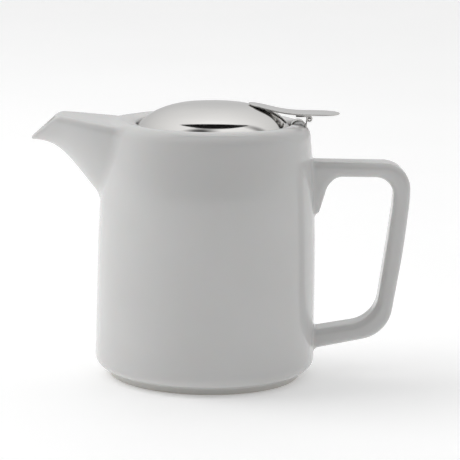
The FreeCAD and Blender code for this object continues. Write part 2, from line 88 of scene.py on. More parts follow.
def loop_faces(rings, count, closed_rings=False, caps=False):
    """Quads between consecutive rings of count points each, with n-gon caps on request."""
    faces = []
    last = rings if closed_rings else rings - 1
    for i in range(last):
        a, b = i * count, (i + 1) % rings * count
        for j in range(count):
            k = (j + 1) % count
            faces.append((a + j, a + k, b + k, b + j))
    if caps:
        faces.append(tuple(range(count)))
        faces.append(tuple(range((rings - 1) * count, rings * count)))
    return faces


def rounded(corners, step=0.25):
    """A closed outline through corners (x, y) or (x, y, radius), with a fine arc for each radius."""
    made = []
    count = len(corners)
    for i, corner in enumerate(corners):
        here = np.array(corner[:2], float)
        radius = corner[2] if len(corner) > 2 else 0.0
        back = np.array(corners[i - 1][:2], float) - here
        ahead = np.array(corners[(i + 1) % count][:2], float) - here
        back /= np.linalg.norm(back)
        ahead /= np.linalg.norm(ahead)
        half = math.acos(max(-1.0, min(1.0, float(back @ ahead)))) / 2
        if radius == 0.0 or abs(half - math.pi / 2) < 1e-6:
            made.append(here)
            continue
        towards = (back + ahead) / np.linalg.norm(back + ahead)
        centre = here + towards * radius / math.sin(half)
        start = here + back * radius / math.tan(half) - centre
        end = here + ahead * radius / math.tan(half) - centre
        first = math.atan2(start[1], start[0])
        turn = (math.atan2(end[1], end[0]) - first + math.pi) % (2 * math.pi) - math.pi
        pieces = max(3, int(abs(turn) * radius / step))
        for a in first + turn * np.linspace(0, 1, pieces + 1):
            made.append(centre + radius * np.array([math.cos(a), math.sin(a)]))
    return np.array(made)


def filled(outline, longest):
    """The outline with its long straight runs divided."""
    made = []
    for i, here in enumerate(outline):
        ahead = outline[(i + 1) % len(outline)]
        parts = max(1, int(math.ceil(np.linalg.norm(ahead - here) / longest)))
        made += [here + (ahead - here) * t / parts for t in range(parts)]
    return np.array(made)


def revolve(profile, segments):
    """A profile of (radius, z) turned about Z. Points on the axis close up when doubles merge."""
    angles = np.linspace(0, 2 * math.pi, segments, endpoint=False)
    radius, height = profile[:, 0], profile[:, 1]
    x = np.cos(angles)[:, None] * radius
    y = np.sin(angles)[:, None] * radius
    z = np.broadcast_to(height, x.shape)
    points = np.stack([x, y, z], axis=-1).reshape(-1, 3)
    return points, loop_faces(segments, len(profile), closed_rings=True)


def rounded_section(half_thick, half_wide, radius, per_corner=5):
    """A rounded rectangle as (across the sheet, along the width)."""
    made = []
    for sx, sy, start in ((1, 1, 0), (-1, 1, 90), (-1, -1, 180), (1, -1, 270)):
        for a in np.radians(start + np.linspace(0, 90, per_corner)):
            made.append(
                (
                    sx * (half_thick - radius) + radius * math.cos(a),
                    sy * (half_wide - radius) + radius * math.sin(a),
                )
            )
    return np.array(made)


def strip(path, thick, half_widths, y=0.0):
    """A sheet-metal strip along a path in the XZ plane, with eased edges and ends."""
    path = np.asarray(path, float)
    tangent = np.gradient(path, axis=0)
    tangent /= np.linalg.norm(tangent, axis=1)[:, None]
    normal = np.stack([-tangent[:, 1], tangent[:, 0]], axis=1)
    ease = thick * 0.3
    stations = [(path[0], normal[0], tangent[0], half_widths[0], a) for a in (80, 50, 25)]
    stations = [(p - t * ease * math.sin(math.radians(a)), n, w, a) for p, n, t, w, a in stations]
    stations += [(path[i], normal[i], half_widths[i], 0) for i in range(len(path))]
    for a in (25, 50, 80):
        end = path[-1] + tangent[-1] * ease * math.sin(math.radians(a))
        stations.append((end, normal[-1], half_widths[-1], a))
    points = []
    for at, across, half_wide, angle in stations:
        shrink = ease * (1 - math.cos(math.radians(angle)))
        section = rounded_section(thick / 2 - shrink, half_wide - shrink, ease * 0.98)
        for s, w in section:
            points.append((at[0] + across[0] * s, y + w, at[1] + across[1] * s))
    count = len(points) // len(stations)
    return np.array(points), loop_faces(len(stations), count, caps=True)


def plate(outline, spine, top, thick):
    """A bent sheet: rings shrink from the outline to the spine above and below a rounded edge."""
    outline, spine = np.asarray(outline, float), np.asarray(spine, float)
    reach = np.linalg.norm(outline - spine, axis=1)[:, None]
    ease = thick * 0.42
    inner = (0.0, 0.12, 0.25, 0.4, 0.55, 0.7, 0.82, 0.92)
    rings = [(f, None, thick) for f in inner]
    for a in np.radians(np.linspace(-90, 90, 11)):
        depth = thick / 2 - (thick / 2 - ease) * np.sign(a) - ease * math.sin(a)
        rings.append((None, ease * (1 - math.cos(a)), depth))
    rings += [(f, None, 0.0) for f in reversed(inner)]
    points = []
    for fraction, inset, depth in rings:
        scale = fraction if inset is None else 1 - inset / np.maximum(reach, ease)
        if inset is None:
            scale = fraction * (1 - ease / np.maximum(reach, ease))
        at = spine + (outline - spine) * scale
        z = top(at[:, 0], at[:, 1]) - depth
        points.append(np.column_stack([at, z]))
    return np.concatenate(points), loop_faces(len(rings), len(outline))


def bent_sheet(along, across, corner, top, thick):
    """A sheet with rounded corners over a surface: rows run across it, and each has an eased edge."""
    ease = thick * 0.4
    row_count, column_count = 48, 40
    into_corner = corner * (1 - np.cos(np.linspace(0.12, 1.5, 10)))
    straight = np.linspace(along[0] + corner, along[1] - corner, row_count)
    rows = np.concatenate([along[0] + into_corner, straight, along[1] - into_corner[::-1]])
    middle, half = (across[0] + across[1]) / 2, (across[1] - across[0]) / 2
    turn = np.linspace(-math.pi / 2, math.pi / 2, 9)
    points = []
    for x in rows:
        gap = min(x - along[0], along[1] - x)
        short = corner - math.sqrt(corner**2 - (corner - gap) ** 2) if gap < corner else 0.0
        flat = half - short - ease
        y = np.linspace(-flat, flat, column_count)
        thin = min(1.0, math.sqrt(max(gap, 0.02) / ease)) if gap < ease else 1.0
        high = top(x, y)
        depth = thick * (1 - thin) / 2
        loop = [np.column_stack([np.full(len(y), x), y + middle, high - depth])]
        for side in (1, -1):
            edge = np.full(len(turn), side * flat)
            edge_y = edge + side * ease * np.cos(turn)
            level = thick / 2 * (1 - np.sin(turn[::-1]) * thin)
            drop = level if side > 0 else level[::-1]
            edge_z = top(x, edge) - drop
            rim = np.column_stack([np.full(len(turn), x), edge_y + middle, edge_z])
            loop.append(rim[1:-1])
            if side > 0:
                under = high[::-1] - thick + depth
                loop.append(np.column_stack([np.full(len(y), x), y[::-1] + middle, under]))
        points.append(np.concatenate(loop))
    return np.concatenate(points), loop_faces(len(rows), len(points[0]), caps=True)


# ---------------------------------------------------------------- materials


def new_material(name):
    material = bpy.data.materials.new(name)
    material.use_nodes = True
    tree = material.node_tree
    shader = tree.nodes["Principled BSDF"]
    place = tree.nodes.new("ShaderNodeTexCoord")
    return material, tree, shader, place.outputs["Object"]


def noise(tree, place, scale, detail, stretch=None):
    if stretch:
        squeeze = tree.nodes.new("ShaderNodeMapping")
        squeeze.inputs["Scale"].default_value = stretch
        tree.links.new(place, squeeze.inputs["Vector"])
        place = squeeze.outputs["Vector"]
    texture = tree.nodes.new("ShaderNodeTexNoise")
    texture.inputs["Scale"].default_value = scale
    texture.inputs["Detail"].default_value = detail
    tree.links.new(place, texture.inputs["Vector"])
    return texture.outputs["Fac"]


def ramp(tree, source, low, high, from_low=0.3, from_high=0.7):
    """Maps a source to a value, or to a colour when low and high are colours."""
    node = tree.nodes.new("ShaderNodeValToRGB")
    node.color_ramp.elements[0].position = from_low
    node.color_ramp.elements[1].position = from_high
    for element, amount in zip(node.color_ramp.elements, (low, high)):
        shade = amount if isinstance(amount, tuple) else (amount,) * 3
        element.color = (*shade, 1.0)
    tree.links.new(source, node.inputs["Fac"])
    return node.outputs["Color"]


def bump(tree, shader, source, distance, strength=1.0):
    node = tree.nodes.new("ShaderNodeBump")
    node.inputs["Distance"].default_value = distance
    node.inputs["Strength"].default_value = strength
    tree.links.new(source, node.inputs["Height"])
    tree.links.new(node.outputs["Normal"], shader.inputs["Normal"])
    return node


def make_glaze():
    """White porcelain under clear glaze, with the bare ground foot where it stands."""
    material, tree, shader, place = new_material("glazed_porcelain")
    shade = ramp(tree, noise(tree, place, 30, 4), (0.665, 0.663, 0.655), (0.69, 0.688, 0.682))
    split = tree.nodes.new("ShaderNodeSeparateXYZ")
    tree.links.new(place, split.inputs["Vector"])
    bare_up_to, glazed_from = 0.0004, 0.0009
    bare = ramp(tree, split.outputs["Z"], 1.0, 0.0, bare_up_to, glazed_from)
    mix = tree.nodes.new("ShaderNodeMix")
    mix.data_type = "RGBA"
    tree.links.new(bare, mix.inputs["Factor"])
    tree.links.new(shade, mix.inputs["A"])
    mix.inputs["B"].default_value = (0.62, 0.60, 0.56, 1)
    tree.links.new(mix.outputs["Result"], shader.inputs["Base Color"])
    gloss = ramp(tree, noise(tree, place, 60, 2), 0.08, 0.12)
    rough = tree.nodes.new("ShaderNodeMath")
    rough.operation = "ADD"
    tree.links.new(gloss, rough.inputs[0])
    dull = tree.nodes.new("ShaderNodeMath")
    dull.operation = "MULTIPLY"
    dull.inputs[1].default_value = 0.5
    tree.links.new(bare, dull.inputs[0])
    tree.links.new(dull.outputs[0], rough.inputs[1])
    tree.links.new(rough.outputs[0], shader.inputs["Roughness"])
    shader.inputs["IOR"].default_value = 1.5
    shader.inputs["Subsurface Weight"].default_value = 0.06
    shader.inputs["Subsurface Scale"].default_value = 0.002
    bump(tree, shader, noise(tree, place, 45, 2), 0.00004, 0.5)
    return material


def make_steel(name, colour, rough_low, rough_high, grain=None, depth=0.0):
    material, tree, shader, place = new_material(name)
    shader.inputs["Metallic"].default_value = 1.0
    dark = tuple(c * 0.96 for c in colour)
    tree.links.new(ramp(tree, noise(tree, place, 40, 3), dark, colour), shader.inputs["Base Color"])
    smudge = ramp(tree, noise(tree, place, 55, 5), rough_low, rough_high)
    tree.links.new(smudge, shader.inputs["Roughness"])
    if grain:
        bump(tree, shader, noise(tree, place, 900, 2, grain), depth)
    return material


# ---------------------------------------------------------------- porcelain skin


def spline(knots, values, at):
    """Natural cubic spline."""
    knots, values = np.asarray(knots, float), np.asarray(values, float)
    gap = np.diff(knots)
    count = len(knots)
    system = np.eye(count)
    right = np.zeros(count)
    for i in range(1, count - 1):
        system[i, i - 1 : i + 2] = gap[i - 1], 2 * (gap[i - 1] + gap[i]), gap[i]
        right[i] = 3 * ((values[i + 1] - values[i]) / gap[i] - (values[i] - values[i - 1]) / gap[i - 1])
    curve = np.linalg.solve(system, right)
    slope = np.diff(values) / gap - gap * (2 * curve[:-1] + curve[1:]) / 3
    i = np.clip(np.searchsorted(knots, at) - 1, 0, count - 2)
    t = at - knots[i]
    bend = (curve[i + 1] - curve[i]) / (3 * gap[i])
    return values[i] + t * (slope[i] + t * (curve[i] + t * bend))


class Sheet:
    """Signed distance to a closed outline, tabulated on a fine grid."""

    def __init__(self, outline, low, high, step=0.4):
        self.low, self.step = np.array(low, float), step
        u = np.arange(low[0], high[0] + step, step)
        v = np.arange(low[1], high[1] + step, step)
        uu, vv = np.meshgrid(u, v, indexing="ij")
        best = np.full(uu.shape, 1e9)
        inside = np.zeros(uu.shape, bool)
        for a, b in zip(outline, np.roll(outline, -1, axis=0)):
            du, dv = b - a
            length = du * du + dv * dv
            if length < 1e-12:
                continue
            t = np.clip(((uu - a[0]) * du + (vv - a[1]) * dv) / length, 0, 1)
            best = np.minimum(best, (uu - a[0] - t * du) ** 2 + (vv - a[1] - t * dv) ** 2)
            if dv != 0:
                crosses = (a[1] > vv) != (b[1] > vv)
                inside ^= crosses & (uu < a[0] + (vv - a[1]) * du / dv)
        self.table = np.where(inside, -1, 1) * np.sqrt(best)

    def at(self, u, v):
        """Cubic interpolation."""
        high_u, high_v = self.table.shape[0] - 3, self.table.shape[1] - 3
        fu = np.clip((u - self.low[0]) / self.step, 1, high_u)
        fv = np.clip((v - self.low[1]) / self.step, 1, high_v)
        iu, iv = fu.astype(np.int32), fv.astype(np.int32)
        wu, wv = cubic_weights(fu - iu), cubic_weights(fv - iv)
        total = 0.0
        for i in range(4):
            row = 0.0
            for j in range(4):
                row = row + wv[j] * self.table[iu + i - 1, iv + j - 1]
            total = total + wu[i] * row
        return total


def cubic_weights(t):
    return (
        -0.5 * t + t**2 - 0.5 * t**3,
        1 - 2.5 * t**2 + 1.5 * t**3,
        0.5 * t + 2 * t**2 - 1.5 * t**3,
        -0.5 * t**2 + 0.5 * t**3,
    )


def both(a, b, radius):
    """Where two solids overlap, with the edge between them rounded."""
    corner = np.hypot(np.maximum(radius + a, 0), np.maximum(radius + b, 0))
    return np.minimum(-radius, np.maximum(a, b)) + corner


def either(a, b, radius):
    """Two solids joined with a fillet."""
    return -both(-a, -b, radius)


def without(a, b, radius):
    """The first solid less the second, with the new edge rounded."""
    return both(a, -b, radius)


BODY = Sheet(
    rounded(
        [
            (-10, 2.2),
            (35.9, 2.2, 1.0),
            (36.9, 0, 0.7),
            (42.0, 0, 0.7),
            (43.0, 3.3, 0.5),
            (48.55, 3.1, 5.6),
            (48.2, 38, 400),
            (47.85, 60, 300),
            (47.05, 82, 250),
            (46.1, 94, 200),
            (44.15, RIM, 6.5),
            (38.2, RIM, 9),
            (28, RIM - 1.9),
            (-10, RIM - 1.9),
        ]
    ),
    (-3, -4),
    (58, 122),
)
CAVITY = Sheet(
    rounded(
        [
            (-10, 6.5),
            (44.3, 6.5, 8),
            (43.8, 50, 300),
            (41.0, RIM - 8.2, 4.5),
            (-10, RIM - 8.2),
        ]
    ),
    (-3, -4),
    (58, 122),
)
HANDLE = Sheet(
    rounded(
        [
            (40, RIM - 16.4),
            (40, RIM - 40),
            (49.0, RIM - 39.6, 2),
            (52.4, RIM - 27.5, 7),
            (56.2, RIM - 23.2, 6),
            (81.55, RIM - 23.0, 8.0),
            (81.5, RIM - 34.5, 80),
            (79.3, RIM - 53, 300),
            (75.0, RIM - 86.6, 14),
            (40, RIM - 93.0),
            (40, RIM - 101.9),
            (80.9, RIM - 93.1, 16),
            (86.55, RIM - 56, 340),
            (88.9, RIM - 33, 80),
            (88.75, RIM - 16.3, 12),
        ]
    ),
    (35, 6),
    (96, 104),
)

SPOUT_REACH = (34.0, 41.6, 49.0, 56.0, 62.0, 68.0, 79.0)
SPOUT_HALF = (24.2, 21.6, 19.0, 15.8, 12.5, 9.3, 6.6)
SPOUT_ROOF = (-1.2, -0.4, 0.3, 1.1, 1.8, 2.4, 3.4)
SPOUT_KEEL = (49.8, 40.4, 31.4, 22.7, 15.9, 11.5, 9.6)
SPOUT_WALL = (3.2, 3.2, 3.0, 2.7, 2.4, 2.1, 1.8)
LIP = (-78.6, RIM - 9.3)
LIP_SLOPE = math.radians(41.5)
SPOUT_ROOT, CHANNEL_ROOT = -34, -36
BAR_HALF_WIDTH = 7.2
RECESS_RADIUS, THROAT_RADIUS, THROAT_FLOOR = 33.9, 29.6, RIM - 16

# The seat of the clip in the deck: a notch from the mouth, and the slot for the clip's outer leg.
SEAT_HALF_WIDTH, NOTCH_END = 3.8, 36.7
SLOT_X, SLOT_HALF_GAP, SLOT_FLOOR = 42.4, 0.8, RIM - 7

# The holes behind the spout, as (y, depth under the rim), and the wall that they go through.
HOLE_RADIUS, HOLE_X, HOLE_REACH = 2.1, -44.5, 5.2
STRAINER = ((-9, 12), (-3, 12), (3, 12), (9, 12), (-6, 18), (0, 18), (6, 18), (-3, 24), (3, 24))


def spout_outside(x, y, z):
    reach = np.clip(-x, SPOUT_REACH[0], SPOUT_REACH[-1])
    half, roof, keel = (
        spline(SPOUT_REACH, row, reach) for row in (SPOUT_HALF, SPOUT_ROOF, SPOUT_KEEL)
    )
    keel_ease = 2.6
    across = np.sqrt(y * y + keel_ease**2) - keel_ease
    half = np.sqrt(half * half + keel_ease**2) - keel_ease
    crown = RIM + roof - 0.0012 * y * y
    depth = np.maximum(crown - z, 0) / (roof + keel)
    bulge = 2.2
    side = across / half + depth**bulge - 1
    steep = np.hypot(1 / half, bulge * depth ** (bulge - 1) / (roof + keel))
    return both(side / steep, z - crown, 3.2)


def porcelain_outside(x, y, z, body, spout):
    """The body, the spout and the handle, filleted together."""
    mouth = (x - LIP[0]) * -math.sin(LIP_SLOPE) + (z - LIP[1]) * math.cos(LIP_SLOPE)
    spout_solid = both(both(spout, mouth, 1.5), x - SPOUT_ROOT, 1.0)
    solid = either(body, spout_solid, 2.2)
    handle = both(HANDLE.at(x, z), np.abs(y) - BAR_HALF_WIDTH, 3.0)
    return either(solid, handle, 1.8)


def without_mouth(solid, x, y, z):
    """Takes out the round mouth: a recess down to the ledge, and the throat under it."""
    from_mouth = np.hypot(x - MOUTH_X, y)
    recess = both(from_mouth - RECESS_RADIUS, LEDGE - z, 0.3)
    throat = both(from_mouth - THROAT_RADIUS, THROAT_FLOOR - z, 0.3)
    return without(without(solid, recess, 0.9), throat, 0.7)


def without_clip_seat(solid, x, y, z):
    across = np.abs(y) - SEAT_HALF_WIDTH
    notch = both(both(x - NOTCH_END, across, 0.4), np.maximum(LEDGE - z, -x), 0.3)
    slot = both(both(np.abs(x - SLOT_X) - SLOT_HALF_GAP, across, 0.3), SLOT_FLOOR - z, 0.3)
    return without(without(solid, notch, 0.9), slot, 0.35)


def porcelain(x, y, z):
    """Signed distance, near enough, to the whole glazed body."""
    radius = np.hypot(x, y)
    body = BODY.at(radius, z)
    spout = spout_outside(x, y, z)
    solid = porcelain_outside(x, y, z, body, spout)
    wall = spline(SPOUT_REACH, SPOUT_WALL, np.clip(-x, SPOUT_REACH[0], SPOUT_REACH[-1]))
    channel = both(both(spout + wall, -(body + 1.0), 0.8), x - CHANNEL_ROOT, 0.5)
    solid = without(solid, channel, 0.9)
    solid = without(solid, CAVITY.at(radius, z), 0.6)
    solid = without_mouth(solid, x, y, z)
    solid = without_clip_seat(solid, x, y, z)
    for hole_y, drop in STRAINER:
        hole = np.hypot(y - hole_y, z - (RIM - drop)) - HOLE_RADIUS
        solid = without(solid, np.maximum(hole, np.abs(x - HOLE_X) - HOLE_REACH), 0.5)
    return solid


def slope(field, points, step=0.05):
    """Gradient by central differences."""
    made = np.empty_like(points)
    for axis in range(3):
        ahead, back = points.copy(), points.copy()
        ahead[:, axis] += step
        back[:, axis] -= step
        made[:, axis] = (field(*ahead.T) - field(*back.T)) / (2 * step)
    return made


FAR_AWAY = 50.0


def surface_net(field, low, high, step, block=24):
    """Quads around the zero surface of a field, from a grid that is only filled in near it."""
    low = np.array(low, float)
    counts = np.ceil((np.array(high, float) - low) / step).astype(int) + 1
    values = np.full(counts, FAR_AWAY, np.float32)
    for i in range(0, counts[0], block):
        for j in range(0, counts[1], block):
            for k in range(0, counts[2], block):
                fill_block(field, values, low, step, (i, j, k), block, counts)
    return net_faces(values, low, step)


def fill_block(field, values, low, step, start, block, counts):
    end = [min(s + block, c) for s, c in zip(start, counts)]
    centre = low + step * (np.array(start) + np.array(end) - 1) / 2
    size = step * block * math.sqrt(3) / 2
    probe = float(field(*(np.array([c]) for c in centre))[0])
    if abs(probe) > size * 1.5 + 3:
        values[start[0] : end[0], start[1] : end[1], start[2] : end[2]] = np.sign(probe) * FAR_AWAY
        return
    axes = [low[a] + step * np.arange(start[a], end[a]) for a in range(3)]
    x, y, z = (g.ravel() for g in np.meshgrid(*axes, indexing="ij"))
    shape = [e - s for s, e in zip(start, end)]
    made = field(x, y, z).reshape(shape)
    values[start[0] : end[0], start[1] : end[1], start[2] : end[2]] = made


def net_faces(values, low, step):
    inside = values < 0
    cells = [c - 1 for c in values.shape]
    corner_sum = np.zeros(cells, np.int8)
    for dx in (0, 1):
        for dy in (0, 1):
            for dz in (0, 1):
                corner_sum += inside[dx : dx + cells[0], dy : dy + cells[1], dz : dz + cells[2]]
    active = (corner_sum > 0) & (corner_sum < 8)
    index = np.full(cells, -1, np.int64)
    where = np.argwhere(active)
    index[active] = np.arange(len(where))
    points = np.zeros((len(where), 3))
    hits = np.zeros(len(where))
    for axis in range(3):
        others = [a for a in range(3) if a != axis]
        for d in ((0, 0), (0, 1), (1, 0), (1, 1)):
            offset = np.zeros(3, int)
            offset[others[0]], offset[others[1]] = d
            a = where + offset
            b = a.copy()
            b[:, axis] += 1
            va, vb = values[tuple(a.T)].astype(float), values[tuple(b.T)].astype(float)
            cut = (va < 0) != (vb < 0)
            t = np.where(cut, va / np.where(cut, va - vb, 1), 0)
            crossing = a.astype(float)
            crossing[:, axis] += t
            points += np.where(cut[:, None], crossing, 0)
            hits += cut
    points = low + step * points / hits[:, None]
    faces = []
    for axis in range(3):
        faces.append(edge_quads(inside, index, axis))
    return points, np.concatenate(faces)


def edge_quads(inside, index, axis):
    """One quad for each grid edge along axis that the surface crosses."""
    layers = np.moveaxis(inside, axis, 0)
    near, far = layers[:-1], layers[1:]
    found = np.argwhere(near != far)
    cells = np.moveaxis(index, axis, 0)
    ok = (found[:, 1] > 0) & (found[:, 2] > 0)
    ok &= (found[:, 1] < cells.shape[1]) & (found[:, 2] < cells.shape[2])
    found = found[ok]
    i, j, k = found.T
    quad = np.stack(
        [cells[i, j - 1, k - 1], cells[i, j, k - 1], cells[i, j, k], cells[i, j - 1, k]], axis=1
    )
    flip = near[i, j, k] == (axis == 1)
    quad[flip] = quad[flip][:, ::-1]
    return quad


def relax(points, faces, field, rounds=6):
    """Evens out the net and puts every point on the surface."""
    longest_push = 0.3
    edges = np.concatenate([faces[:, [0, 1]], faces[:, [1, 2]], faces[:, [2, 3]], faces[:, [3, 0]]])
    count = np.bincount(edges.ravel(), minlength=len(points))[:, None]
    for i in range(rounds):
        total = np.zeros_like(points)
        for axis in range(3):
            total[:, axis] = np.bincount(edges[:, 0], points[edges[:, 1], axis], len(points))
            total[:, axis] += np.bincount(edges[:, 1], points[edges[:, 0], axis], len(points))
        if i < rounds - 2:
            points = points + 0.5 * (total / count - points)
        normal = slope(field, points)
        steep = np.maximum((normal**2).sum(axis=1), 0.05)
        push = (field(*points.T) / steep)[:, None] * normal
        points = points - np.clip(push, -longest_push, longest_push)
    return points


# The clip's slot is under two steps of this grid wide, so a change of its start or its step can leave
# the slot too narrow for the clip.
GRID_STEP = 0.85
GRID_LOW, GRID_HIGH = (-80.2, -50.5, -1.5), (90.5, 50.5, 117.5)


def make_porcelain(material):
    points, faces = surface_net(porcelain, GRID_LOW, GRID_HIGH, GRID_STEP)
    points = relax(points, faces, porcelain)
    mesh = bpy.data.meshes.new("porcelain_skin")
    mesh.vertices.add(len(points))
    mesh.vertices.foreach_set("co", (points / 1000).ravel())
    mesh.loops.add(faces.size)
    mesh.loops.foreach_set("vertex_index", faces.ravel().astype(np.int32))
    mesh.polygons.add(len(faces))
    mesh.polygons.foreach_set("loop_start", np.arange(0, faces.size, 4, dtype=np.int32))
    mesh.update(calc_edges=True)
    mesh.validate()
    mesh.shade_smooth()
    mesh.materials.append(material)
    piece = bpy.data.objects.new("porcelain_skin", mesh)
    bpy.context.scene.collection.objects.link(piece)
    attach(piece, "pot")
    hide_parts("pot_body", "spout", "handle")
    return piece


# ---------------------------------------------------------------- lid

LID_RISE, LID_SHEET = 10.4, 0.6
LID_ARCS = ((13.0, 130.0), (25.0, 38.1), (32.6, 22.9))
LID_LEVEL = RIM - 2.2
LID_TILT = math.radians(0.8)
SKIRT_INSIDE, SKIRT_OUTSIDE, SKIRT_DROP = 26.9, 27.5, -3.6
LEVER_SHEET = 0.7


def dome_arcs():
    """The arcs down the dome, each as two angles, a centre and a radius, and the last arc's slope."""
    reach, level, lean, arcs = 0.0, LID_RISE, 0.0, []
    for end, radius in LID_ARCS:
        centre = (reach - radius * math.sin(lean), level - radius * math.cos(lean))
        last = math.asin((end - centre[0]) / radius)
        arcs.append((lean, last, centre, radius))
        reach, lean = end, last
        level = centre[1] + radius * math.cos(lean)
    return arcs, lean


def dome_line(grow, steps=24):
    """Points down the dome from its apex to its edge."""
    arcs, lean = dome_arcs()
    points = []
    for start, end, centre, radius in arcs:
        for a in np.linspace(start, end, steps)[:-1]:
            out = radius + grow
            points.append((centre[0] + out * math.sin(a), centre[1] + out * math.cos(a)))
    _, _, centre, radius = arcs[-1]
    out = radius + grow
    edge = (centre[0] + out * math.sin(lean), centre[1] + out * math.cos(lean))
    span = edge[0] + edge[1] / math.tan(lean)
    points += [(edge[0] + (span - edge[0]) * t, edge[1] * (1 - t)) for t in np.linspace(0, 0.7, 5)]
    return points


def dome_height(radius, grow=0.0):
    reach, level = np.array(dome_line(grow, 60)).T
    return np.interp(radius, reach, level)


def onto_lid(points):
    """From the lid's own frame to the pot's."""
    x, y, z = np.asarray(points, float).T
    turned_x = x * math.cos(LID_TILT) - z * math.sin(LID_TILT) + MOUTH_X
    turned_z = x * math.sin(LID_TILT) + z * math.cos(LID_TILT) + LID_LEVEL
    return np.column_stack([turned_x, y, turned_z])


def lever_top(x, _y=None):
    """Height of the lever's upper face: straight, then curved, then level."""
    bend_from, bend_to, bend_round, bend_rise, front_slope = 29, 42, 67, 1.28, 0.218
    level = PIVOT[1] + KNUCKLE_RADIUS + LEVER_SHEET
    into_bend = np.clip(bend_to - x, 0, bend_to - bend_from)
    curve = level + bend_round - np.sqrt(bend_round**2 - into_bend**2)
    straight = level + bend_rise + (bend_from - x) * front_slope
    return np.where(x < bend_from, straight, np.where(x < bend_to, curve, level))


def make_lid(steel, satin):
    outer, inner = dome_line(0.0), dome_line(-LID_SHEET)
    outer_edge, inner_edge = outer[-1], inner[-1]
    foot = [
        (outer_edge[0] + 0.12, 0.16),
        (outer_edge[0] + 0.1, 0.05),
        (outer_edge[0] - 0.05, 0.0),
        (inner_edge[0] + 0.25, 0.0),
        (inner_edge[0] + 0.15, 0.1),
    ]
    profile = np.array(outer + foot + inner[::-1])
    points, faces = revolve(profile, 256)
    add_piece("lid_dome_shell", onto_lid(points), faces, "lid", ["lid_dome"], steel)

    skirt_top = float(dome_height(SKIRT_OUTSIDE, -LID_SHEET)) - 0.02
    outline = rounded(
        [
            (SKIRT_INSIDE, SKIRT_DROP, 0.25),
            (SKIRT_OUTSIDE, SKIRT_DROP, 0.25),
            (SKIRT_OUTSIDE, skirt_top),
            (SKIRT_INSIDE, skirt_top + 0.1),
        ],
        0.1,
    )
    points, faces = revolve(filled(outline, 1.5), 192)
    add_piece("lid_skirt_ring", onto_lid(points), faces, "lid", ["lid_skirt"], satin)


def lever_outline():
    """Plan of the lever with its spine: narrow and round in front, widening to the thumb end."""
    front, end, round_front, round_end = 17.2, 57.2, 7.5, 8.3
    outline, spine = [], []

    def add(x, y, spine_x):
        outline.append((x, y))
        spine.append((spine_x, 0.0))

    first, last = front + round_front, end - round_end
    for a in np.radians(np.linspace(90, 270, 49)):
        add(first + round_front * math.cos(a), round_front * math.sin(a), first)
    along = np.linspace(0, 1, 42)[1:-1]
    for t in along:
        half = round_front + (round_end - round_front) * (3 * t**2 - 2 * t**3)
        add(first + (last - first) * t, -half, first + (last - first) * t)
    for a in np.radians(np.linspace(-90, 90, 49)):
        add(last + round_end * math.cos(a), round_end * math.sin(a), last)
    for t in along[::-1]:
        half = round_front + (round_end - round_front) * (3 * t**2 - 2 * t**3)
        add(first + (last - first) * t, half, first + (last - first) * t)
    return outline, spine


def make_lever(steel):
    outline, spine = lever_outline()
    points, faces = plate(outline, spine, lever_top, LEVER_SHEET)
    add_piece("thumb_lever_plate", points, faces, "lid", ["thumb_lever"], steel)


def strap_top(x, y):
    """Hugs the dome, and eases under the lever."""
    over_dome, under_lever, blend_width = 0.7, 0.74, 0.3
    hug = dome_height(np.hypot(x, y)) + over_dome
    under = (lever_top(x + MOUTH_X) - under_lever) - LID_LEVEL - x * math.sin(LID_TILT)
    return (hug + under - np.sqrt((hug - under) ** 2 + blend_width**2)) / 2


def make_strap(steel):
    start, end, half_wide, corner, thick = 21.6, 32.0, 3.9, 1.0, 0.66
    points, faces = bent_sheet((start, end), (-half_wide, half_wide), corner, strap_top, thick)
    name = "dome_strap_strip"
    add_piece(name, onto_lid(points), faces, "lid", ["dome_strap"], steel)


# ---------------------------------------------------------------- hinge and clip


def curl(path_start, radius, start_angle, end_angle, steps=40):
    """A path that ends in a roll round the hinge axis."""
    angles = np.radians(np.linspace(start_angle, end_angle, steps))
    roll = [(PIVOT[0] + radius * math.cos(a), PIVOT[1] + radius * math.sin(a)) for a in angles]
    return list(path_start) + roll


def line(start, end, steps):
    return [
        (start[0] + (end[0] - start[0]) * t, start[1] + (end[1] - start[1]) * t)
        for t in np.linspace(0, 1, steps, endpoint=False)
    ]


LEG_FOOT = RIM - 5.3


def make_lever_leaf(steel):
    """The strip under the lever, with a rolled knuckle on each side of the middle one."""
    leaf_z = PIVOT[1] + KNUCKLE_RADIUS - 0.325
    roll_radius, knuckle_y, knuckle_half_wide, strip_half_wide = 1.075, 5.3, 2.2, 7.5
    path = curl(line((38.0, leaf_z), (PIVOT[0], leaf_z), 10), roll_radius, 90, -235)
    wide = [knuckle_half_wide] * len(path)
    parts = [strip(path, 0.64, wide, side * knuckle_y) for side in (-1, 1)]
    steps = 8
    across = line((37.9, leaf_z), (41.6, leaf_z), steps)
    parts.append(strip(across, 0.62, [strip_half_wide] * steps))
    points, faces = joined(parts)
    add_piece("lever_leaf_rolled", points, faces, "lid", ["lever_leaf"], steel)


def make_riser(steel):
    """The upright strip, which narrows above the rim to the middle knuckle."""
    riser_x = PIVOT[0] - 1.1 + 0.1
    narrow, widening = 2.8, 0.7
    path = curl(line((riser_x, LEG_FOOT), (riser_x, PIVOT[1]), 34), 0.9, 180, -125)
    wide = [narrow + widening / (1 + math.exp((z - RIM - 0.45) * 9)) for _, z in path]
    points, faces = strip(path, 0.4, wide)
    add_piece("riser_leaf_rolled", points, faces, "clip", ["riser_leaf"], steel)


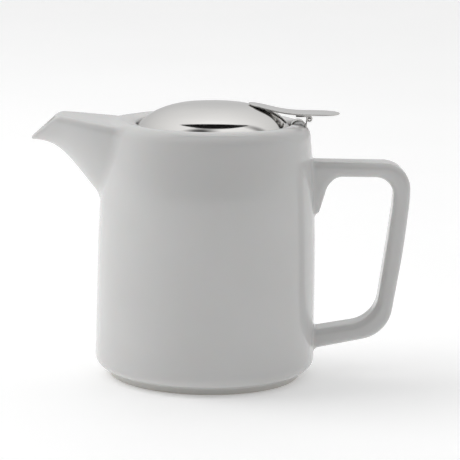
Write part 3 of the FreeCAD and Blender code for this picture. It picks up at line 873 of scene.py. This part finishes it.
def make_clip(steel):
    """The spring strip: up inside the rim, over it in an arch, and down into the slot."""
    spring, round_mid = RIM - 1.0, 3.35
    left, right, half_wide = 36.1, 42.2, 3.5
    half = (right - left) / 2
    centre = ((left + right) / 2, spring - math.sqrt(round_mid**2 - half**2))
    lean = math.degrees(math.asin(half / round_mid))
    arch = [
        (centre[0] + round_mid * math.sin(a), centre[1] + round_mid * math.cos(a))
        for a in np.radians(np.linspace(-lean, lean, 30))
    ]
    path = line((left, spring - 3.1), arch[0], 8) + arch
    path += line(arch[-1], (right, LEG_FOOT), 10)[1:]
    points, faces = strip(path, 0.58, [half_wide] * len(path))
    add_piece("saddle_clip_spring", points, faces, "clip", ["saddle_clip"], steel)


def make_pin(steel):
    radius, half_long = 0.69, 7.8
    outline = rounded(
        [(0, -half_long), (radius, -half_long, 0.25), (radius, half_long, 0.25), (0, half_long)], 0.08
    )
    points, faces = revolve(filled(outline, 1.0), 40)
    points = np.column_stack([points[:, 0] + PIVOT[0], points[:, 2], points[:, 1] + PIVOT[1]])
    add_piece("hinge_pin_rod", points, faces, "clip", ["hinge_pin"], steel)


# ---------------------------------------------------------------- basket


def perforated(to_point, columns, rows, pitch, hole, thick, wrap):
    """A sheet of square cells with an eight-sided hole in each, on both faces and through the sheet."""
    ring = [(1, 0), (1, 1), (0, 1), (-1, 1), (-1, 0), (-1, -1), (0, -1), (1, -1)]
    points, faces = [], []
    for i in range(columns):
        for j in range(rows):
            u, v = (i + 0.5) * pitch[0], (j + 0.5) * pitch[1]
            base = len(points)
            for w in (0.0, thick):
                for du, dv in ring:
                    points.append((u + du * pitch[0] / 2, v + dv * pitch[1] / 2, w))
                for a in range(8):
                    turn = math.radians(45 * a)
                    points.append((u + hole * math.cos(turn), v + hole * math.sin(turn), w))
            for a in range(8):
                b = (a + 1) % 8
                faces.append((base + a, base + b, base + 8 + b, base + 8 + a))
                faces.append((base + 16 + b, base + 16 + a, base + 24 + a, base + 24 + b))
                faces.append((base + 8 + a, base + 8 + b, base + 24 + b, base + 24 + a))
                edge_v = (j == 0 and a in (5, 6)) or (j == rows - 1 and a in (1, 2))
                edge_u = not wrap and ((i == 0 and a in (3, 4)) or (i == columns - 1 and a in (7, 0)))
                if edge_v or edge_u:
                    faces.append((base + b, base + a, base + 16 + a, base + 16 + b))
    return to_point(np.array(points)), faces


BASKET_BOTTOM = RIM - 78
COLLAR_FOOT = RIM - 16
COLLAR_INSIDE, COLLAR_OUTSIDE, FLANGE_RADIUS = 28.3, 28.8, 33.2


def spin(name, outline, node, material):
    """A ring of the basket, turned about the middle of the mouth."""
    points, faces = revolve(filled(outline, 2.0), 192)
    points[:, 0] += MOUTH_X
    add_piece(name, points, faces, "infuser", [node], material)


def make_basket_rim(satin):
    sheet = 0.6
    top = LEDGE + 0.15 + sheet
    outline = rounded(
        [
            (COLLAR_INSIDE, COLLAR_FOOT, 0.2),
            (COLLAR_OUTSIDE, COLLAR_FOOT, 0.2),
            (COLLAR_OUTSIDE, top - sheet, 0.35),
            (FLANGE_RADIUS, top - sheet, 0.28),
            (FLANGE_RADIUS, top, 0.28),
            (COLLAR_INSIDE, top, 0.9),
        ],
        0.1,
    )
    spin("infuser_rim_spun", outline, "infuser_rim", satin)


def make_basket_hoop(satin):
    turned_in, inside, sheet, height = 24.3, 28.32, 0.38, 6
    outline = rounded(
        [
            (turned_in, BASKET_BOTTOM, 0.15),
            (COLLAR_OUTSIDE, BASKET_BOTTOM, 0.8),
            (COLLAR_OUTSIDE, BASKET_BOTTOM + height, 0.2),
            (inside, BASKET_BOTTOM + height, 0.2),
            (inside, BASKET_BOTTOM + sheet, 0.3),
            (turned_in, BASKET_BOTTOM + sheet, 0.15),
        ],
        0.1,
    )
    spin("infuser_hoop_band", outline, "infuser_hoop", satin)


def make_basket_wall(mesh_steel):
    columns, rows, wall_radius = 118, 42, 27.85
    low, high = BASKET_BOTTOM + 0.8, RIM - 12
    height = (high - low) / rows

    def wall_point(p):
        angle = p[:, 0] / columns * 2 * math.pi
        radius = wall_radius + p[:, 2]
        return np.column_stack(
            [MOUTH_X + radius * np.cos(angle), radius * np.sin(angle), low + p[:, 1]]
        )

    points, faces = perforated(wall_point, columns, rows, (1.0, height), 0.28, 0.4, True)
    name = "infuser_wall_perforated"
    add_piece(name, points, faces, "infuser", ["infuser_wall"], mesh_steel)


def make_basket_floor(mesh_steel):
    side, radius = 36, 28.15
    floor_z = BASKET_BOTTOM + 0.4

    def floor_point(p):
        """Square sheet of holes bent into a disc."""
        a, b = p[:, 0] / side * 2 - 1, p[:, 1] / side * 2 - 1
        x = a * np.sqrt(1 - b * b / 2) * radius
        y = b * np.sqrt(1 - a * a / 2) * radius
        return np.column_stack([MOUTH_X + x, y, floor_z + 0.02 + p[:, 2]])

    points, faces = perforated(floor_point, side, side, (1.0, 1.0), 0.28, 0.36, False)
    name = "infuser_floor_perforated"
    add_piece(name, points, faces, "infuser", ["infuser_floor"], mesh_steel)


def make_basket_seam(satin):
    """The lap strip of the rolled wall, between the hoop and the collar."""
    half_lap, inside, outside = 2.5, 28.3, 28.58
    angles = np.linspace(-half_lap, half_lap, 13) / 28.5
    outline = [(inside * math.cos(a), inside * math.sin(a)) for a in angles]
    outline += [(outside * math.cos(a), outside * math.sin(a)) for a in angles[::-1]]
    heights = np.linspace(BASKET_BOTTOM + 6.1, RIM - 16.1, 40)
    points = [(MOUTH_X + x, y, z) for z in heights for x, y in outline]
    faces = loop_faces(len(heights), len(outline), caps=True)
    add_piece("infuser_seam_strip", points, faces, "infuser", ["infuser_seam"], satin)


# ---------------------------------------------------------------- camera, floor and light

WORLD_STRENGTH = 1.45
WORLD_FRONT = ((0.0, 0.012), (0.40, 0.012), (0.56, 0.16), (0.78, 0.36), (1.0, 0.46))
WORLD_BEHIND = ((0.0, 0.42), (0.17, 0.44), (0.42, 0.55), (0.7, 0.68), (0.9, 0.8), (1.0, 0.95))
# Ovals of dark directions: the middle, the half spans, how soft the edge is, the shade, and for the
# crescent the middle and half spans of the oval that is left out.
WORLD_FLAGS = (
    ((-0.27, -0.14, 1.0), (0.38, 0.21, 1.2), 0.7, 0.05, None),
    ((0.62, 0.25, 1.0), (0.36, 0.13, 1.2), 0.7, 0.28, None),
    ((0.0, 0.41, 1.0), (0.43, 0.46, 1.2), 0.04, 0.006, ((0.0, 0.66, 1.0), (0.68, 0.46, 1.2))),
)


def make_camera():
    """The viewpoint: far back with a long lens, a little above the rim, rolled about one degree. It aims
    beside and above the point of the pot's axis that it is measured from."""
    distance, lift, roll = 982.5, math.radians(10.65), math.radians(1.087)
    axis_height, aim_right, aim_up, lens, film = 56, 10.2434, 8.3774, 173.9583, 36
    forward = Vector((0, math.cos(lift), -math.sin(lift)))
    right = Vector((1, 0, 0))
    up = Vector((0, math.sin(lift), math.cos(lift)))
    ahead = (forward * distance + right * aim_right + up * aim_up).normalized()
    across = right * math.cos(roll) + up * math.sin(roll)
    across = (across - ahead * across.dot(ahead)).normalized()
    above = across.cross(ahead)
    turn = Matrix((across, above, -ahead)).transposed().to_4x4()
    at = Vector((0, -distance * math.cos(lift), axis_height + distance * math.sin(lift))) / 1000
    data = bpy.data.cameras.new("view")
    data.sensor_width = film
    data.lens = lens
    data.clip_start, data.clip_end = 0.05, 20
    camera = bpy.data.objects.new("view", data)
    camera.matrix_world = Matrix.Translation(at) @ turn
    bpy.context.scene.collection.objects.link(camera)
    bpy.context.scene.camera = camera


def add_softbox(name, at, towards, size, power):
    """A lamp that lights the pot but is not seen in the steel."""
    data = bpy.data.lights.new(name, "AREA")
    data.shape = "RECTANGLE"
    data.size, data.size_y = size
    data.energy = power
    lamp = bpy.data.objects.new(name, data)
    at, towards = Vector(at), Vector(towards)
    turn = (towards - at).to_track_quat("-Z", "Y").to_matrix().to_4x4()
    lamp.matrix_world = Matrix.Translation(at) @ turn
    lamp.visible_glossy = False
    bpy.context.scene.collection.objects.link(lamp)


def make_stage():
    size, segments = 3.0, 64
    angles = np.linspace(0, 2 * math.pi, segments, endpoint=False)
    mesh = bpy.data.meshes.new("floor")
    mesh.from_pydata([(size * math.cos(a), size * math.sin(a), 0) for a in angles], [], [range(segments)])
    floor = bpy.data.objects.new("floor", mesh)
    material, tree, shader, place = new_material("pale_floor")
    shade = ramp(tree, noise(tree, place, 6, 2), (0.93, 0.93, 0.93), (0.95, 0.95, 0.95))
    tree.links.new(shade, shader.inputs["Base Color"])
    shader.inputs["Roughness"].default_value = 0.6
    shader.inputs["Emission Color"].default_value = (1, 1, 1, 1)
    shader.inputs["Emission Strength"].default_value = 0.2
    mesh.materials.append(material)
    bpy.context.scene.collection.objects.link(floor)


def level_ramp(tree, source, stops):
    """Greys by height above the horizon, as fractions of the brightest."""
    node = tree.nodes.new("ShaderNodeValToRGB")
    elements = node.color_ramp.elements
    for element, (position, shade) in zip(elements, (stops[0], stops[-1])):
        element.position, element.color = position, (shade, shade, shade, 1)
    for position, shade in stops[1:-1]:
        elements.new(position).color = (shade, shade, shade, 1)
    tree.links.new(source, node.inputs["Fac"])
    return node.outputs["Color"]


def blend(tree, factor, first, second):
    node = tree.nodes.new("ShaderNodeMix")
    node.data_type = "RGBA"
    tree.links.new(factor, node.inputs["Factor"])
    for name, colour in (("A", first), ("B", second)):
        if isinstance(colour, tuple):
            node.inputs[name].default_value = colour
        else:
            tree.links.new(colour, node.inputs[name])
    return node.outputs["Result"]


def make_world():
    """A pale studio: brightest overhead, dimmer round the camera, with dark flags over the lid."""
    world = bpy.data.worlds.new("studio")
    world.use_nodes = True
    bpy.context.scene.world = world
    tree = world.node_tree
    place = tree.nodes.new("ShaderNodeTexCoord").outputs["Generated"]
    split = tree.nodes.new("ShaderNodeSeparateXYZ")
    tree.links.new(place, split.inputs["Vector"])
    back = tree.nodes.new("ShaderNodeMapRange")
    back.inputs["From Min"].default_value = -0.75
    back.inputs["From Max"].default_value = 0.1
    tree.links.new(split.outputs["Y"], back.inputs["Value"])
    front = level_ramp(tree, split.outputs["Z"], WORLD_FRONT)
    behind = level_ramp(tree, split.outputs["Z"], WORLD_BEHIND)
    sky = blend(tree, back.outputs["Result"], front, behind)
    for middle, spans, soft, shade, left_out in WORLD_FLAGS:
        flag = oval(tree, place, middle, spans, soft)
        if left_out:
            rest = oval(tree, place, *left_out, soft)
            flag = blend(tree, rest, flag, (0, 0, 0, 1))
        sky = blend(tree, flag, sky, (shade, shade, shade, 1))
    background = tree.nodes["Background"]
    tree.links.new(sky, background.inputs["Color"])
    background.inputs["Strength"].default_value = WORLD_STRENGTH


def oval(tree, place, middle, spans, soft):
    """One inside an oval of directions, nothing outside it."""
    squeeze = tree.nodes.new("ShaderNodeMapping")
    squeeze.vector_type = "TEXTURE"
    squeeze.inputs["Location"].default_value = middle
    squeeze.inputs["Scale"].default_value = spans
    tree.links.new(place, squeeze.inputs["Vector"])
    length = tree.nodes.new("ShaderNodeVectorMath")
    length.operation = "LENGTH"
    tree.links.new(squeeze.outputs["Vector"], length.inputs[0])
    return ramp(tree, length.outputs["Value"], 1.0, 0.0, 1.0 - soft, 1.0)


def main():
    make_camera()
    make_world()
    make_stage()
    bpy.context.scene.view_settings.view_transform = "Standard"
    add_softbox("left_box", (-1.1, 0.15, 1.1), (0, 0, 0.06), (1.1, 1.1), 7.5)
    glaze = make_glaze()
    steel = make_steel("polished_steel", (0.66, 0.65, 0.635), 0.05, 0.09)
    satin = make_steel("satin_steel", (0.70, 0.695, 0.69), 0.22, 0.32, (0.05, 0.05, 1), 0.00002)
    mesh_steel = make_steel("perforated_steel", (0.64, 0.635, 0.63), 0.25, 0.36)
    make_porcelain(glaze)
    make_lid(steel, satin)
    make_lever(steel)
    make_strap(steel)
    make_lever_leaf(steel)
    make_riser(steel)
    make_clip(steel)
    make_pin(steel)
    make_basket_rim(satin)
    make_basket_hoop(satin)
    make_basket_wall(mesh_steel)
    make_basket_floor(mesh_steel)
    make_basket_seam(satin)


main()
